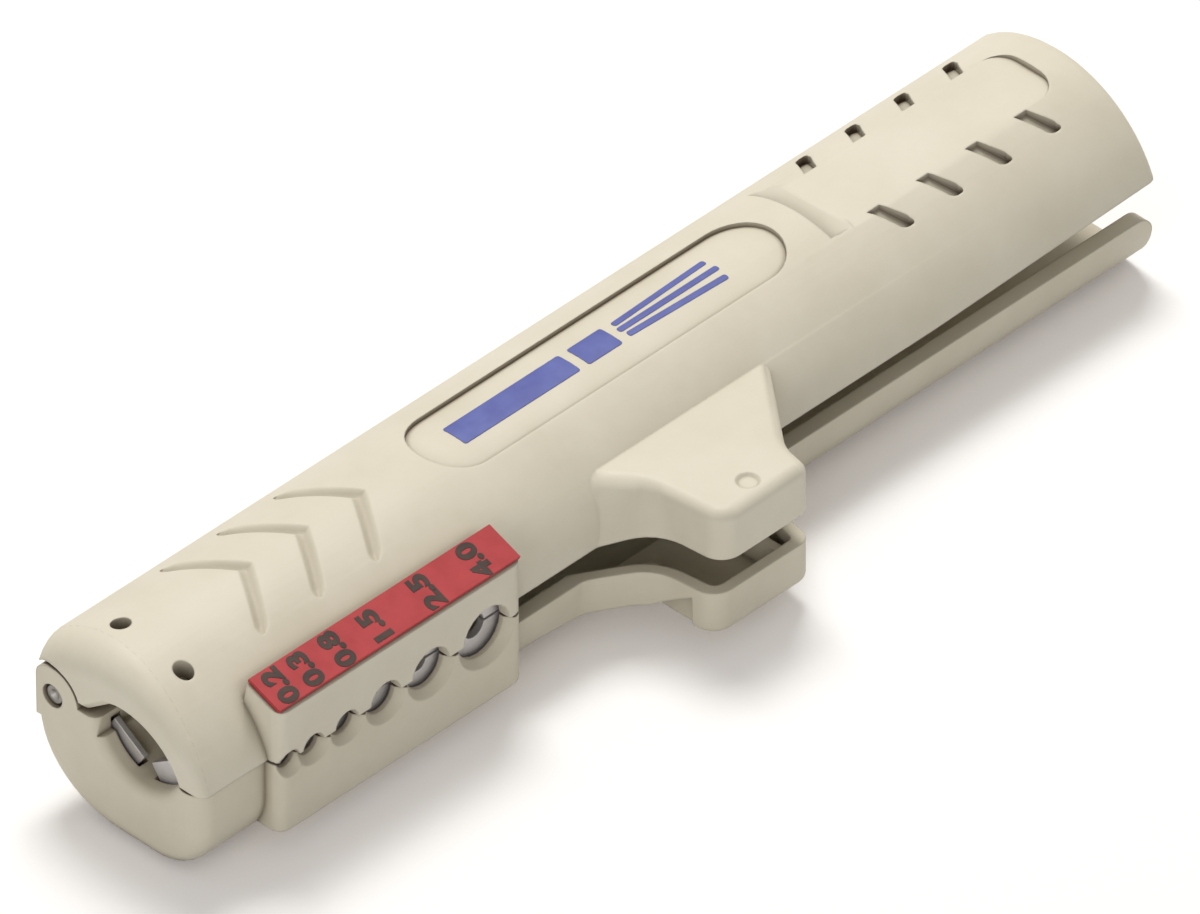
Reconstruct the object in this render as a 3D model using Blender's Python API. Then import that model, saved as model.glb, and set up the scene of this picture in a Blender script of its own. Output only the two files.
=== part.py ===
# Data cable stripper: a pen-shaped clamshell with a sheath cutter in its head, six graded wire notches
# along its near side, and a lever that swings on a long pin at its far side.
#
# Sections are drawn across the tool: y points to the far side, z up, and (0, 0) is the axis of the
# upper shell's arc. x runs from the head face (0) to the tail. Sizes are in metres.

import math

import bmesh
import bpy
from mathutils import Matrix, Vector

# Upper shell
tool_length = 0.125
shell_radius = 0.01364
shell_wall = 0.0018
far_flat_depth = 0.00524
head_block = 0.0056
head_rounding = 0.0032
head_rounding_near = 0.0009
tail_rounding = 0.001
tail_edge_rise = 0.00065
tail_rise_length = 0.03
parting_height = 0.00415
fit_gap = 0.0003

# Lower lever
lever_short = 0.0005
lever_wall = 0.0017
belly_drop = 0.0062
belly_near_radius = 0.006
belly_far_radius = 0.0097
lever_head_rounding = 0.0019
lever_head_rounding_far = 0.0004
edge_setback = 0.00044
far_setback = 0.0003
rim_drop = 0.00325
spoon_radius = 0.0019

# Hinge along the far side
pin_radius = 0.00095
pin_inset = 0.0021
pin_rise = 0.0016
pin_recess = 0.0003
pin_dimple = 0.0006
knuckle_radius = 0.0032
knuckle_corner = 0.0014
head_knuckle = 0.0075
rear_knuckle_start = 0.0453
rear_knuckle = 0.0067

# Mouth for the cable
arch_radius = 0.0072
arch_y = -0.0027
arch_rise = 0.00265
arch_end_angle = 72
seat_radius = 0.0053
seat_y = -0.0045
seat_rise = 0.0023
seat_rounding = 0.0011
cable_axis_y = -0.0036
mouth_lead_in = 0.0006
ear_tab = 0.0005
ear_tab_rise = 0.0021
ear_foot_reach = 0.0055

# Flange with the wire notches
flange_start = 0.00835
flange_length = 0.0316
flange_reach = 0.0019
flange_below_back = 0.00314
flange_slope_run = 0.0041
flange_slope_rise = 0.0016
flange_back_lean = 0.0005
flange_back_drop = 0.0015
flange_drop = 0.0077
flange_corner = 0.0016
upright_rounding = 0.0012
lead_in = 0.0007
lead_in_depth = 0.0009

# Wire notches: place as a share of the flange's length, radius in the plastic and radius in the blades
wire_notches = [
    (0.049, 0.00115, 0.0003),
    (0.141, 0.00135, 0.00036),
    (0.277, 0.0015, 0.00055),
    (0.435, 0.00196, 0.00075),
    (0.619, 0.0024, 0.001),
    (0.847, 0.003, 0.0013),
]

# Steel blades
wire_blade_inset = 0.0017
wire_blade_thickness = 0.0008
wire_blade_height = 0.0052
wire_blade_margin = 0.0006
sheath_blade_thickness = 0.0006
sheath_blade_front = 0.0023
sheath_blade_spacing = 0.0013
sheath_blade_width = 0.0032
upper_sheath_width = 0.002
sheath_blade_reach = 0.0045
sheath_v_angle = math.radians(33.7)
lower_v_depth = 0.00165
upper_v_height = 0.00525
v_split = 0.0005

# Size strip on the flange
strip_thickness = 0.0004
strip_gap = 0.0001
strip_margin = 0.0003

# Thumb wings
wing_head = 0.057
wing_tail = 0.0684
wing_reach = 0.0101
wing_top_height = 0.00535
wing_lean = 0.0007
wing_fillet = 0.005
wing_corner = 0.0023
wing_edge_rounding = 0.0011
wing_flare_start = 0.0063
wing_flare = 0.8
wing_blend = 0.005
wing_foot_start = 0.0509
wing_foot_turn = 0.0024
wing_top_start = 0.053
wing_top_turn = 0.0013
wing_root_depth = 0.0007
wing_wall = 0.0012
rib_thickness = 0.0009
rib_from_flank = 0.0027
gate_mark_radius = 0.0012
gate_mark_depth = 0.0003
gate_mark_from_tip = 0.0024
lower_wing_lead = 0.001
lower_wing_start = 0.0496
lower_wing_turn = 0.003
lower_wing_height = 0.00495
lower_wing_root = 0.0008
undercut_height = 0.0011
undercut_end = 0.0073

# Recesses on the shell's back
label_start = 0.041
label_length = 0.046
label_half_width = 0.0044
label_depth = 0.00045
chevron_count = 3
chevron_first = 0.0197
chevron_pitch = 0.0073
chevron_sweep = 0.0042
chevron_half_span = 0.0066
chevron_width = 0.0023
chevron_depth = 0.00068
chevron_tip = 0.14
head_hole_radius = 0.001
head_hole_distance = 0.0051
head_hole_center_y = -0.0015
head_hole_half_spacing = 0.004
panel_start = 0.0928
panel_length = 0.0282
panel_depth = 0.00058
panel_corner = 0.0024
ramp_length = 0.0024
ramp_depth = 0.0006
ramp_near_end = 0.0043
pocket_count = 4
pocket_first = 0.0034
pocket_pitch = 0.00647
pocket_width = 0.0013
pocket_reach = 0.0027
pocket_slant = 0.71
pocket_depth = 0.00085

# Values worked out from the sizes above
lever_length = tool_length - lever_short
shell_edge = parting_height + fit_gap / 2
lever_top = parting_height - fit_gap / 2
near_edge = -math.sqrt(shell_radius ** 2 - shell_edge ** 2)
near_wall = near_edge + edge_setback
far_face = shell_radius - far_flat_depth
lever_far = far_face - far_setback
rim = parting_height - rim_drop
belly = -belly_drop
pin_y = far_face - pin_inset
pin_z = parting_height + pin_rise
relief_radius = knuckle_radius + fit_gap
bore_radius = pin_radius + fit_gap
flange_face = near_wall - flange_reach
flange_end = flange_start + flange_length
flange_edge_z = shell_radius - flange_below_back
blade_outer = flange_face + wire_blade_inset
blade_inner = blade_outer + wire_blade_thickness
rear_knuckle_end = rear_knuckle_start + rear_knuckle
wing_tip = near_edge - wing_reach
wing_top = shell_edge + wing_top_height
wing_bottom = rim - lower_wing_height
past = 0.001  # how far a cutter runs past the face that it opens
hair = 0.00001  # how close a point has to lie to count as on a face

for old in list(bpy.data.objects):
    bpy.data.objects.remove(old, do_unlink=True)

parts = bpy.data.collections.new("cable_stripper")
cutters = bpy.data.collections.new("cutters")
for group in (parts, cutters):
    bpy.context.scene.collection.children.link(group)


def make_material(name, color, roughness, metallic=0.0):
    material = bpy.data.materials.new(name)
    material.use_nodes = True
    shader = material.node_tree.nodes["Principled BSDF"]
    shader.inputs["Base Color"].default_value = (*color, 1.0)
    shader.inputs["Roughness"].default_value = roughness
    shader.inputs["Metallic"].default_value = metallic
    return material


shell_plastic = make_material("shell_plastic", (0.73, 0.67, 0.54), 0.45)
lever_plastic = make_material("lever_plastic", (0.70, 0.64, 0.51), 0.48)
blade_steel = make_material("blade_steel", (0.55, 0.54, 0.52), 0.28, 1.0)
pin_steel = make_material("pin_steel", (0.42, 0.41, 0.40), 0.35, 1.0)
red_label = make_material("red_label", (0.55, 0.06, 0.07), 0.4)


# Outlines, as lists of (u, v) points

def arc(center, radius, start, end, steps):
    """Points on an arc between two angles in degrees."""
    points = []
    for i in range(steps + 1):
        angle = math.radians(start + (end - start) * i / steps)
        points.append((center[0] + radius * math.cos(angle), center[1] + radius * math.sin(angle)))
    return points


def rounded(corners, steps=6):
    """An outline from (u, v, radius) corners, each rounded as far as its sides allow."""
    points = []
    for i, (u, v, radius) in enumerate(corners):
        here = Vector((u, v))
        before = Vector(corners[i - 1][:2]) - here
        after = Vector(corners[(i + 1) % len(corners)][:2]) - here
        if radius <= 0:
            points.append((u, v))
            continue
        half = before.angle(after) / 2
        shares = [radius / (radius + corners[j % len(corners)][2]) for j in (i - 1, i + 1)]
        run = min(radius / math.tan(half), before.length * shares[0], after.length * shares[1])
        radius = run * math.tan(half)
        middle = here + (before.normalized() + after.normalized()).normalized() * radius / math.sin(half)
        first = here + before.normalized() * run - middle
        last = here + after.normalized() * run - middle
        turn = first.angle_signed(last)
        for k in range(steps + 1):
            spoke = first.copy()
            spoke.rotate(Matrix.Rotation(-turn * k / steps, 2))
            points.append(tuple(middle + spoke))
    return points


def grown(points, distance):
    """The same outline moved outward by a distance all round."""
    area = sum(a[0] * b[1] - b[0] * a[1] for a, b in zip(points, points[1:] + points[:1]))
    side = 1 if area > 0 else -1
    moved = []
    for i, point in enumerate(points):
        here = Vector(point)
        back = (here - Vector(points[i - 1])).normalized()
        ahead = (Vector(points[(i + 1) % len(points)]) - here).normalized()
        normal = (Vector((back.y, -back.x)) + Vector((ahead.y, -ahead.x))).normalized() * side
        reach = distance / max(0.3, normal.dot(Vector((back.y, -back.x)) * side))
        moved.append(tuple(here + normal * reach))
    return moved


# Solids

across_tool = Matrix(((0, 0, 1, 0), (1, 0, 0, 0), (0, 1, 0, 0), (0, 0, 0, 1)))
along_side = Matrix(((1, 0, 0, 0), (0, 0, -1, 0), (0, 1, 0, 0), (0, 0, 0, 1)))
from_above = Matrix.Identity(4)


def add_object(name, mesh, collection=None):
    piece = bpy.data.objects.new(name, mesh)
    (collection or cutters).objects.link(piece)
    if (collection or cutters) == cutters:
        piece.hide_render = True
        piece.display_type = "WIRE"
    return piece


def face_outward(form):
    bmesh.ops.recalc_face_normals(form, faces=form.faces)
    if form.calc_volume(signed=True) < 0:
        bmesh.ops.reverse_faces(form, faces=form.faces)


def slab(name, outline, low, high, plane=across_tool, collection=None):
    """A flat outline extruded from low to high along the normal of its plane."""
    curve = bpy.data.curves.new(name, "CURVE")
    curve.dimensions = "2D"
    curve.fill_mode = "BOTH"
    curve.extrude = abs(high - low) / 2
    spline = curve.splines.new("POLY")
    spline.points.add(len(outline) - 1)
    for point, (u, v) in zip(spline.points, outline):
        point.co = (u, v, 0, 1)
    spline.use_cyclic_u = True
    drawn = bpy.data.objects.new(name + "_curve", curve)
    cutters.objects.link(drawn)
    bpy.context.view_layer.update()
    mesh = bpy.data.meshes.new_from_object(drawn.evaluated_get(bpy.context.evaluated_depsgraph_get()))
    bpy.data.objects.remove(drawn, do_unlink=True)
    bpy.data.curves.remove(curve)
    form = bmesh.new()
    form.from_mesh(mesh)
    bmesh.ops.remove_doubles(form, verts=form.verts, dist=0.000001)
    bmesh.ops.dissolve_limit(form, angle_limit=math.radians(0.5), verts=form.verts, edges=form.edges)
    form.transform(plane @ Matrix.Translation((0, 0, (low + high) / 2)))
    face_outward(form)
    form.to_mesh(mesh)
    form.free()
    return add_object(name, mesh, collection)


def loft(name, low_outline, high_outline, low, high, plane=from_above, collection=None):
    """A solid between two unlike outlines that have the same number of points."""
    form = bmesh.new()
    foot = [form.verts.new((u, v, low)) for u, v in low_outline]
    top = [form.verts.new((u, v, high)) for u, v in high_outline]
    for i in range(len(foot)):
        form.faces.new((foot[i - 1], foot[i], top[i], top[i - 1]))
    form.faces.new(foot)
    form.faces.new(top)
    form.transform(plane)
    face_outward(form)
    mesh = bpy.data.meshes.new(name)
    form.to_mesh(mesh)
    form.free()
    return add_object(name, mesh, collection)


def lofted_ring(name, rings):
    """A solid through a row of closed rings that have the same number of points."""
    form = bmesh.new()
    rows = [[form.verts.new(point) for point in ring] for ring in rings]
    for one, two in zip(rows, rows[1:]):
        for i in range(len(one)):
            form.faces.new((one[i - 1], one[i], two[i], two[i - 1]))
    form.faces.new(rows[0])
    form.faces.new(rows[-1])
    face_outward(form)
    mesh = bpy.data.meshes.new(name)
    form.to_mesh(mesh)
    form.free()
    return add_object(name, mesh)


def rod(name, center, radius, low, high, plane=across_tool, tip_radius=None, segments=40, collection=None):
    """A cylinder, or a cone with a tip radius, from low to high along the normal of its plane."""
    form = bmesh.new()
    bmesh.ops.create_cone(form, cap_ends=True, segments=segments, radius1=radius,
                          radius2=radius if tip_radius is None else tip_radius, depth=high - low)
    form.transform(plane @ Matrix.Translation((center[0], center[1], (low + high) / 2)))
    mesh = bpy.data.meshes.new(name)
    form.to_mesh(mesh)
    form.free()
    return add_object(name, mesh, collection)


def soft_mouth(name, center, radius, rounding):
    """What the rounded front edge of a round opening takes away at the head face."""
    rings = []
    for x, reach in [(-past, rounding)] + arc((rounding, rounding), rounding, 180, 270, 6):
        rings.append([Vector((x, u, v)) for u, v in arc(center, radius + reach, 0, 360, 64)[1:]])
    return lofted_ring(name, rings)


def edge_cutter(name, path):
    """What a rounded head edge takes away along a path of points, outward directions and radii."""
    rings = []
    for spot, out, radius in path:
        profile = arc((radius, -radius), radius, 90, 180, 6)
        profile += [(-past, -radius), (-past, past), (radius, past)]
        rings.append([Vector((x, *(spot + out * reach))) for x, reach in profile])
    return lofted_ring(name, rings)


def combine(piece, other, operation):
    change = piece.modifiers.new(other.name, "BOOLEAN")
    change.operation = operation
    change.object = other


def cut(piece, *others):
    for other in others:
        combine(piece, other, "DIFFERENCE")


def join(piece, *others):
    for other in others:
        combine(piece, other, "UNION")


def round_edges(piece, chosen, width, segments):
    """Bevel the edges that a test chooses by their middle."""
    form = bmesh.new()
    form.from_mesh(piece.data)
    edges = [edge for edge in form.edges if chosen((edge.verts[0].co + edge.verts[1].co) / 2)]
    bmesh.ops.bevel(form, geom=edges, offset=width, segments=segments, profile=0.5, affect="EDGES",
                    clamp_overlap=False)
    bmesh.ops.remove_doubles(form, verts=form.verts, dist=0.000002)
    face_outward(form)
    form.to_mesh(piece.data)
    form.free()


# Sections shared by the pieces

def shell_section():
    """Outside of the upper shell: its arc, the far flat, and the knuckle's bead round the pin."""
    near_angle = math.degrees(math.atan2(shell_edge, near_edge))
    far_angle = math.degrees(math.acos(far_face / shell_radius))
    bead_start = -math.degrees(math.acos(pin_inset / knuckle_radius))
    bead_end = -180 + math.degrees(math.asin((pin_z - shell_edge) / knuckle_radius))
    return (arc((0, 0), shell_radius, near_angle, far_angle, 30)
            + arc((pin_y, pin_z), knuckle_radius, bead_start, bead_end, 10))


def shell_hollow():
    """Inside of the upper shell, open downward and clear of the knuckle's bead."""
    inner = shell_radius - shell_wall
    far_inner = far_face - shell_wall
    bead_top = math.degrees(math.acos((far_inner - pin_y) / knuckle_radius))
    bead_low = 180 + math.degrees(math.asin((pin_z - shell_edge) / knuckle_radius))
    lower_edge = arc((pin_y, pin_z), knuckle_radius, bead_top, bead_low, 14)
    return (arc((0, 0), inner, 180, math.degrees(math.acos(far_inner / inner)), 30)
            + lower_edge + [(lower_edge[-1][0], 0)])


def lever_section():
    """Outside of the lever: a trough with a narrow flat along its belly."""
    return rounded([(near_wall, lever_top, 0), (near_wall, belly, belly_near_radius),
                    (lever_far, belly, belly_far_radius), (lever_far, lever_top, 0)], 12)


def lever_hollow():
    rim = lever_top + past
    return rounded([(near_wall + lever_wall, rim, 0),
                    (near_wall + lever_wall, belly + lever_wall, belly_near_radius - lever_wall),
                    (lever_far - lever_wall, belly + lever_wall, belly_far_radius - lever_wall),
                    (lever_far - lever_wall, rim, 0)], 12)


def knuckle_section():
    """Ear of the lever: round over the pin, flat at the far face, with a foot down to the trough."""
    side = pin_inset - knuckle_corner
    blend = math.acos(side / (knuckle_radius - knuckle_corner))
    corner = (pin_y + side, pin_z + (knuckle_radius - knuckle_corner) * math.sin(blend))
    foot = lever_top - 0.4 * knuckle_radius
    return (arc(corner, knuckle_corner, 0, math.degrees(blend), 6)
            + arc((pin_y, pin_z), knuckle_radius, math.degrees(blend), 180, 16)[1:]
            + [(pin_y - knuckle_radius, lever_top), (lever_far - lever_wall, foot), (far_face, foot)])


def wing_outline(head, foot, turn, root, blend=0, inset=0):
    """Plan of a thumb wing: a head flank swept out from its foot, a flared tail flank and a blunt tip."""
    flank = head - wing_lean
    slant = (flank - foot[0]) / (foot[1] - near_edge + turn)
    sweep_shift = inset * math.sqrt(1 + slant ** 2)
    flare_shift = inset * math.sqrt(1 + wing_flare ** 2)
    waist = wing_tail + wing_lean
    spread = near_edge - wing_flare_start
    if blend:
        start = [(foot[0] - blend, root, 0), (foot[0], foot[1], wing_fillet * 0.7)]
    else:
        start = [(foot[0] + sweep_shift - slant * (root - foot[1]), root, 0)]
    tip = wing_tip + inset
    corner = wing_corner - inset
    return rounded(start + [
        (flank + inset, near_edge - turn + (sweep_shift - inset) / slant, wing_fillet + inset),
        (head + inset, tip, corner),
        (wing_tail - inset, tip, corner),
        (waist - inset, spread + (flare_shift - inset) / wing_flare, wing_fillet + inset),
        (waist - flare_shift + wing_flare * (root - spread), root, 0)], 6)


def upper_wing_foot(root, blend=0, inset=0):
    return wing_outline(wing_head, (wing_foot_start, near_edge), wing_foot_turn, root, blend, inset)


def lower_wing_foot(root, blend=0, inset=0):
    return wing_outline(wing_head - lower_wing_lead, (lower_wing_start, near_wall), lower_wing_turn, root,
                        blend, inset)


def sheath_v(side, apex_z, rise):
    """One half of a sheath cutter: a plate whose cutting edge climbs from the cable's axis."""
    along = Vector((side * math.cos(sheath_v_angle), rise * math.sin(sheath_v_angle)))
    back = Vector((side * math.sin(sheath_v_angle), -rise * math.cos(sheath_v_angle)))
    start = Vector((cable_axis_y + side * v_split, apex_z))
    end = start + along * sheath_blade_reach
    return [tuple(start), tuple(end), tuple(end + back * sheath_blade_width),
            tuple(start + back * sheath_blade_width)]


# Upper shell, with its flange, wing and recesses

def back_cutter(name, outline, depth):
    """A recess of even depth in the shell's back, from its outline seen from above."""
    cutter = slab(name, outline, shell_radius / 2, shell_radius + past, from_above)
    cut(cutter, rod(name + "_floor", (0, 0), shell_radius - depth, -past, tool_length + past, segments=96))
    return cutter


def chevron_cutter(index):
    """A soft V groove over the back, its section a raised cosine that fades out at both tips."""
    apex = chevron_first + index * chevron_pitch - chevron_width / 2
    steps = 14
    lip = chevron_depth / steps
    rings = []
    for step in range(-steps, steps + 1):
        share = abs(step) / steps
        y = chevron_half_span * step / steps
        up = Vector((0, y, math.sqrt(shell_radius ** 2 - y ** 2))).normalized()
        fade = math.sqrt(1 - (max(0, share - 1 + chevron_tip) / chevron_tip * 0.95) ** 2)
        ring = []
        for k in range(-5, 6):
            drop = chevron_depth * fade * (1 + math.cos(math.pi * k / 5)) / 2 - lip
            along = apex - chevron_sweep * share + chevron_width / 2 * fade * k / 5
            ring.append(Vector((along, 0, 0)) + up * (shell_radius - drop))
        for across in (ring[-1].x, ring[0].x):
            ring.append(Vector((across, 0, 0)) + up * (shell_radius + past))
        rings.append(ring)
    return lofted_ring(f"chevron_{index + 1}", rings)


def shell_head_cutter():
    """The shell's head edge: a small radius at the near side, a large one over the back."""
    path = []
    for step in range(49):
        share = step / 48
        angle = math.radians(200 - 230 * share)
        out = Vector((math.cos(angle), math.sin(angle)))
        ease = min(1, max(0, (share - 0.14) / 0.42))
        radius = head_rounding_near + (head_rounding - head_rounding_near) * ease * ease * (3 - 2 * ease)
        path.append((out * shell_radius, out, radius))
    return edge_cutter("shell_head_edge", path)


def label_cutter():
    corners = [(label_start, -label_half_width), (label_start + label_length, -label_half_width),
               (label_start + label_length, label_half_width), (label_start, label_half_width)]
    outline = rounded([(u, v, label_half_width * 0.98) for u, v in corners], 8)
    return back_cutter("label_recess", outline, label_depth)


def panel_cutters():
    """The flat on the tail with the ramp in front of it."""
    floor = shell_radius - panel_depth
    half = math.sqrt(shell_radius ** 2 - floor ** 2)
    end = panel_start + panel_length
    outline = rounded([(panel_start, -half, 0), (end, -half, panel_corner),
                       (end, half, panel_corner), (panel_start, half, 0)], 6)
    panel = slab("tail_panel", outline, floor, shell_radius + past, from_above)
    ramp = slab("tail_ramp", [(panel_start - ramp_length, shell_radius + past),
                              (panel_start - ramp_length, floor - ramp_depth),
                              (panel_start + hair, floor), (panel_start + hair, shell_radius + past)],
                -half - 2 * past, ramp_near_end, along_side)
    return panel, ramp


def pocket_cutter():
    """Grip pockets on both sides of the tail panel, each deepest at its outer end."""
    floor = shell_radius - panel_depth
    inner = math.sqrt(shell_radius ** 2 - floor ** 2)
    outer = inner + pocket_reach
    outer_z = math.sqrt(shell_radius ** 2 - outer ** 2) - pocket_depth
    form = bmesh.new()
    for side in (-1, 1):
        profile = [(side * inner, floor), (side * outer, outer_z),
                   (side * outer, shell_radius + past), (side * inner, shell_radius + past)]
        for index in range(pocket_count):
            middle = panel_start + pocket_first + index * pocket_pitch
            pocket = slab("pocket", profile, middle - pocket_width / 2, middle + pocket_width / 2)
            round_edges(pocket, lambda co, x=middle: abs(abs(co.y) - outer) < hair
                        and abs(co.x - x) > pocket_width * 0.4, pocket_width * 0.45, 4)
            pocket.data.transform(Matrix(((1, side * pocket_slant, 0, -inner * pocket_slant), (0, 1, 0, 0),
                                          (0, 0, 1, 0), (0, 0, 0, 1))))
            form.from_mesh(pocket.data)
            bpy.data.objects.remove(pocket, do_unlink=True)
    mesh = bpy.data.meshes.new("grip_pockets")
    form.to_mesh(mesh)
    form.free()
    return add_object("grip_pockets", mesh)


def notch_cutters(name, with_lead_in):
    """Half-round wire notches through the flange, centred on the parting line."""
    tools = []
    for index, (share, radius, _) in enumerate(wire_notches):
        center = (flange_start + share * flange_length, parting_height)
        tools.append(rod(f"{name}_{index + 1}", center, radius, -near_wall - lever_wall - 2 * past,
                         -flange_face + past, along_side, segments=20))
        if with_lead_in:
            tools.append(rod(f"{name}_lead_in_{index + 1}", center, radius, -flange_face - lead_in_depth,
                             -flange_face + hair, along_side, radius + lead_in, 24))
    return tools


def blade_slot(name, edge, back):
    """Room for a wire blade, from the parting line to the blade's back edge."""
    start = flange_start + wire_blade_margin
    end = flange_end - wire_blade_margin
    outline = [(start - fit_gap, edge), (end + fit_gap, edge),
               (end + fit_gap, back), (start - fit_gap, back)]
    return slab(name, outline, -blade_inner - fit_gap, -blade_outer + fit_gap, along_side)


def wing_rib(name, low, high):
    """A rib across a wing's pocket, near its tail flank."""
    side = wing_tail - rib_from_flank
    return slab(name, [(side, wing_tip), (side + rib_thickness, wing_tip),
                       (side + rib_thickness, near_edge), (side, near_edge)], low, high, from_above)


def make_upper_shell():
    shell = slab("upper_shell", shell_section(), 0, tool_length, collection=parts)
    round_edges(shell, lambda co: abs(co.x - tool_length) < hair and co.z > shell_edge + hair
                and math.hypot(co.y, co.z) > shell_radius * 0.99, tail_rounding, 3)
    cut(shell, shell_head_cutter())
    rise_start = tool_length - tail_rise_length
    cut(shell, slab("tail_edge_rise", [
        (rise_start, shell_edge), (tool_length + past, shell_edge + tail_edge_rise),
        (tool_length + past, shell_edge - past), (rise_start, shell_edge - past)],
        -ear_tab, shell_radius + past, along_side))

    slope_end = flange_face + flange_slope_run
    lowered = strip_thickness + strip_gap
    flange = slab("upper_flange", [
        (flange_face, shell_edge), (flange_face, flange_edge_z - lowered),
        (slope_end, flange_edge_z + flange_slope_rise - lowered),
        (slope_end + flange_back_lean, flange_edge_z - flange_back_drop),
        (slope_end + flange_back_lean, shell_edge)],
        flange_start, flange_end)
    round_edges(flange, lambda co: abs(co.y - flange_face) < hair and co.x < flange_start + hair,
                upright_rounding, 3)
    round_edges(flange, lambda co: abs(co.y - flange_face) < hair and co.x > flange_end - hair,
                upright_rounding, 3)

    top_edge = -math.sqrt(shell_radius ** 2 - wing_top ** 2)
    top_root = top_edge + wing_root_depth
    wing = loft("upper_wing", upper_wing_foot(near_edge + wing_root_depth, wing_blend),
                wing_outline(wing_head, (wing_top_start, top_edge), wing_top_turn, top_root, wing_blend),
                shell_edge, wing_top)
    round_edges(wing, lambda co: co.z > wing_top - hair and co.y < top_root - hair,
                wing_edge_rounding, 4)
    join(shell, flange, wing)
    pocket = slab("upper_wing_pocket", upper_wing_foot(near_edge - wing_root_depth, inset=wing_wall),
                  shell_edge - past, wing_top - wing_wall, from_above)
    cut(pocket, wing_rib("upper_wing_rib", shell_edge + rib_thickness, wing_top + past))
    cut(shell, pocket)
    cut(shell, rod("gate_mark", ((wing_head + wing_tail) / 2, wing_tip + gate_mark_from_tip),
                   gate_mark_radius - gate_mark_depth, wing_top - gate_mark_depth,
                   wing_top + gate_mark_depth, from_above, gate_mark_radius + gate_mark_depth, 24))

    cut(shell, slab("shell_hollow", shell_hollow(), head_block, tool_length - shell_wall))
    arch = (arch_y, parting_height - arch_rise)
    flat = math.degrees(math.asin((shell_edge - arch[1]) / arch_radius))
    ear_side = (pin_y - relief_radius - ear_tab, parting_height + ear_tab_rise)
    mouth = (arc(arch, arch_radius, 180 - flat, arch_end_angle, 16) + [ear_side, (pin_y, ear_side[1]),
             (pin_y, lever_top - past),
             (arch[0] - arch_radius * math.cos(math.radians(flat)), lever_top - past)])
    cut(shell, slab("mouth_arch", mouth, -past, head_block + past))
    cut(shell, loft("arch_lead_in", grown(mouth, mouth_lead_in + past), mouth, -past, mouth_lead_in,
                    across_tool))
    cut(shell, rod("head_relief", (pin_y, pin_z), relief_radius, -past, head_knuckle + fit_gap))
    cut(shell, rod("rear_relief", (pin_y, pin_z), relief_radius, rear_knuckle_start - fit_gap,
                   rear_knuckle_end + fit_gap))
    cut(shell, rod("shell_bore", (pin_y, pin_z), bore_radius, head_knuckle, rear_knuckle_start, segments=24))

    cut(shell, *notch_cutters("upper_notch", False))
    cut(shell, blade_slot("upper_blade_slot", lever_top - past, shell_edge + wire_blade_height + fit_gap))
    front = sheath_blade_front + sheath_blade_spacing
    cut(shell, slab("upper_sheath_slot", grown(upper_sheath_outline(), fit_gap),
                    front, front + sheath_blade_thickness + 2 * fit_gap))

    for index in range(chevron_count):
        cut(shell, chevron_cutter(index))
    cut(shell, label_cutter(), *panel_cutters(), pocket_cutter())
    for side in (-1, 1):
        cut(shell, rod(f"head_hole_{side + 1}", (head_hole_distance,
                       head_hole_center_y + side * head_hole_half_spacing),
                       head_hole_radius, shell_radius / 2, shell_radius + past, from_above, segments=24))
    return shell


# Lower lever, the body that lies on the table

def lever_head_cutter():
    """The lever's head edge: rounded along the near side and the belly, nearly sharp at the far side."""
    outline = [Vector(point) for point in lever_section()]
    outline[0].y += past
    outline[-1].y += past
    path = []
    for i, spot in enumerate(outline):
        along = outline[min(i + 1, len(outline) - 1)] - outline[max(i - 1, 0)]
        out = Vector((along.y, -along.x)).normalized()
        if out.dot(spot - Vector((0, lever_top))) < 0:
            out = -out
        ease = min(1, max(0, (spot.y - belly) / (lever_top - belly))) if spot.x > 0 else 0
        radius = lever_head_rounding + (lever_head_rounding_far - lever_head_rounding) * ease * (2 - ease)
        path.append((spot, out, radius))
    return edge_cutter("lever_head_edge", path)


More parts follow.
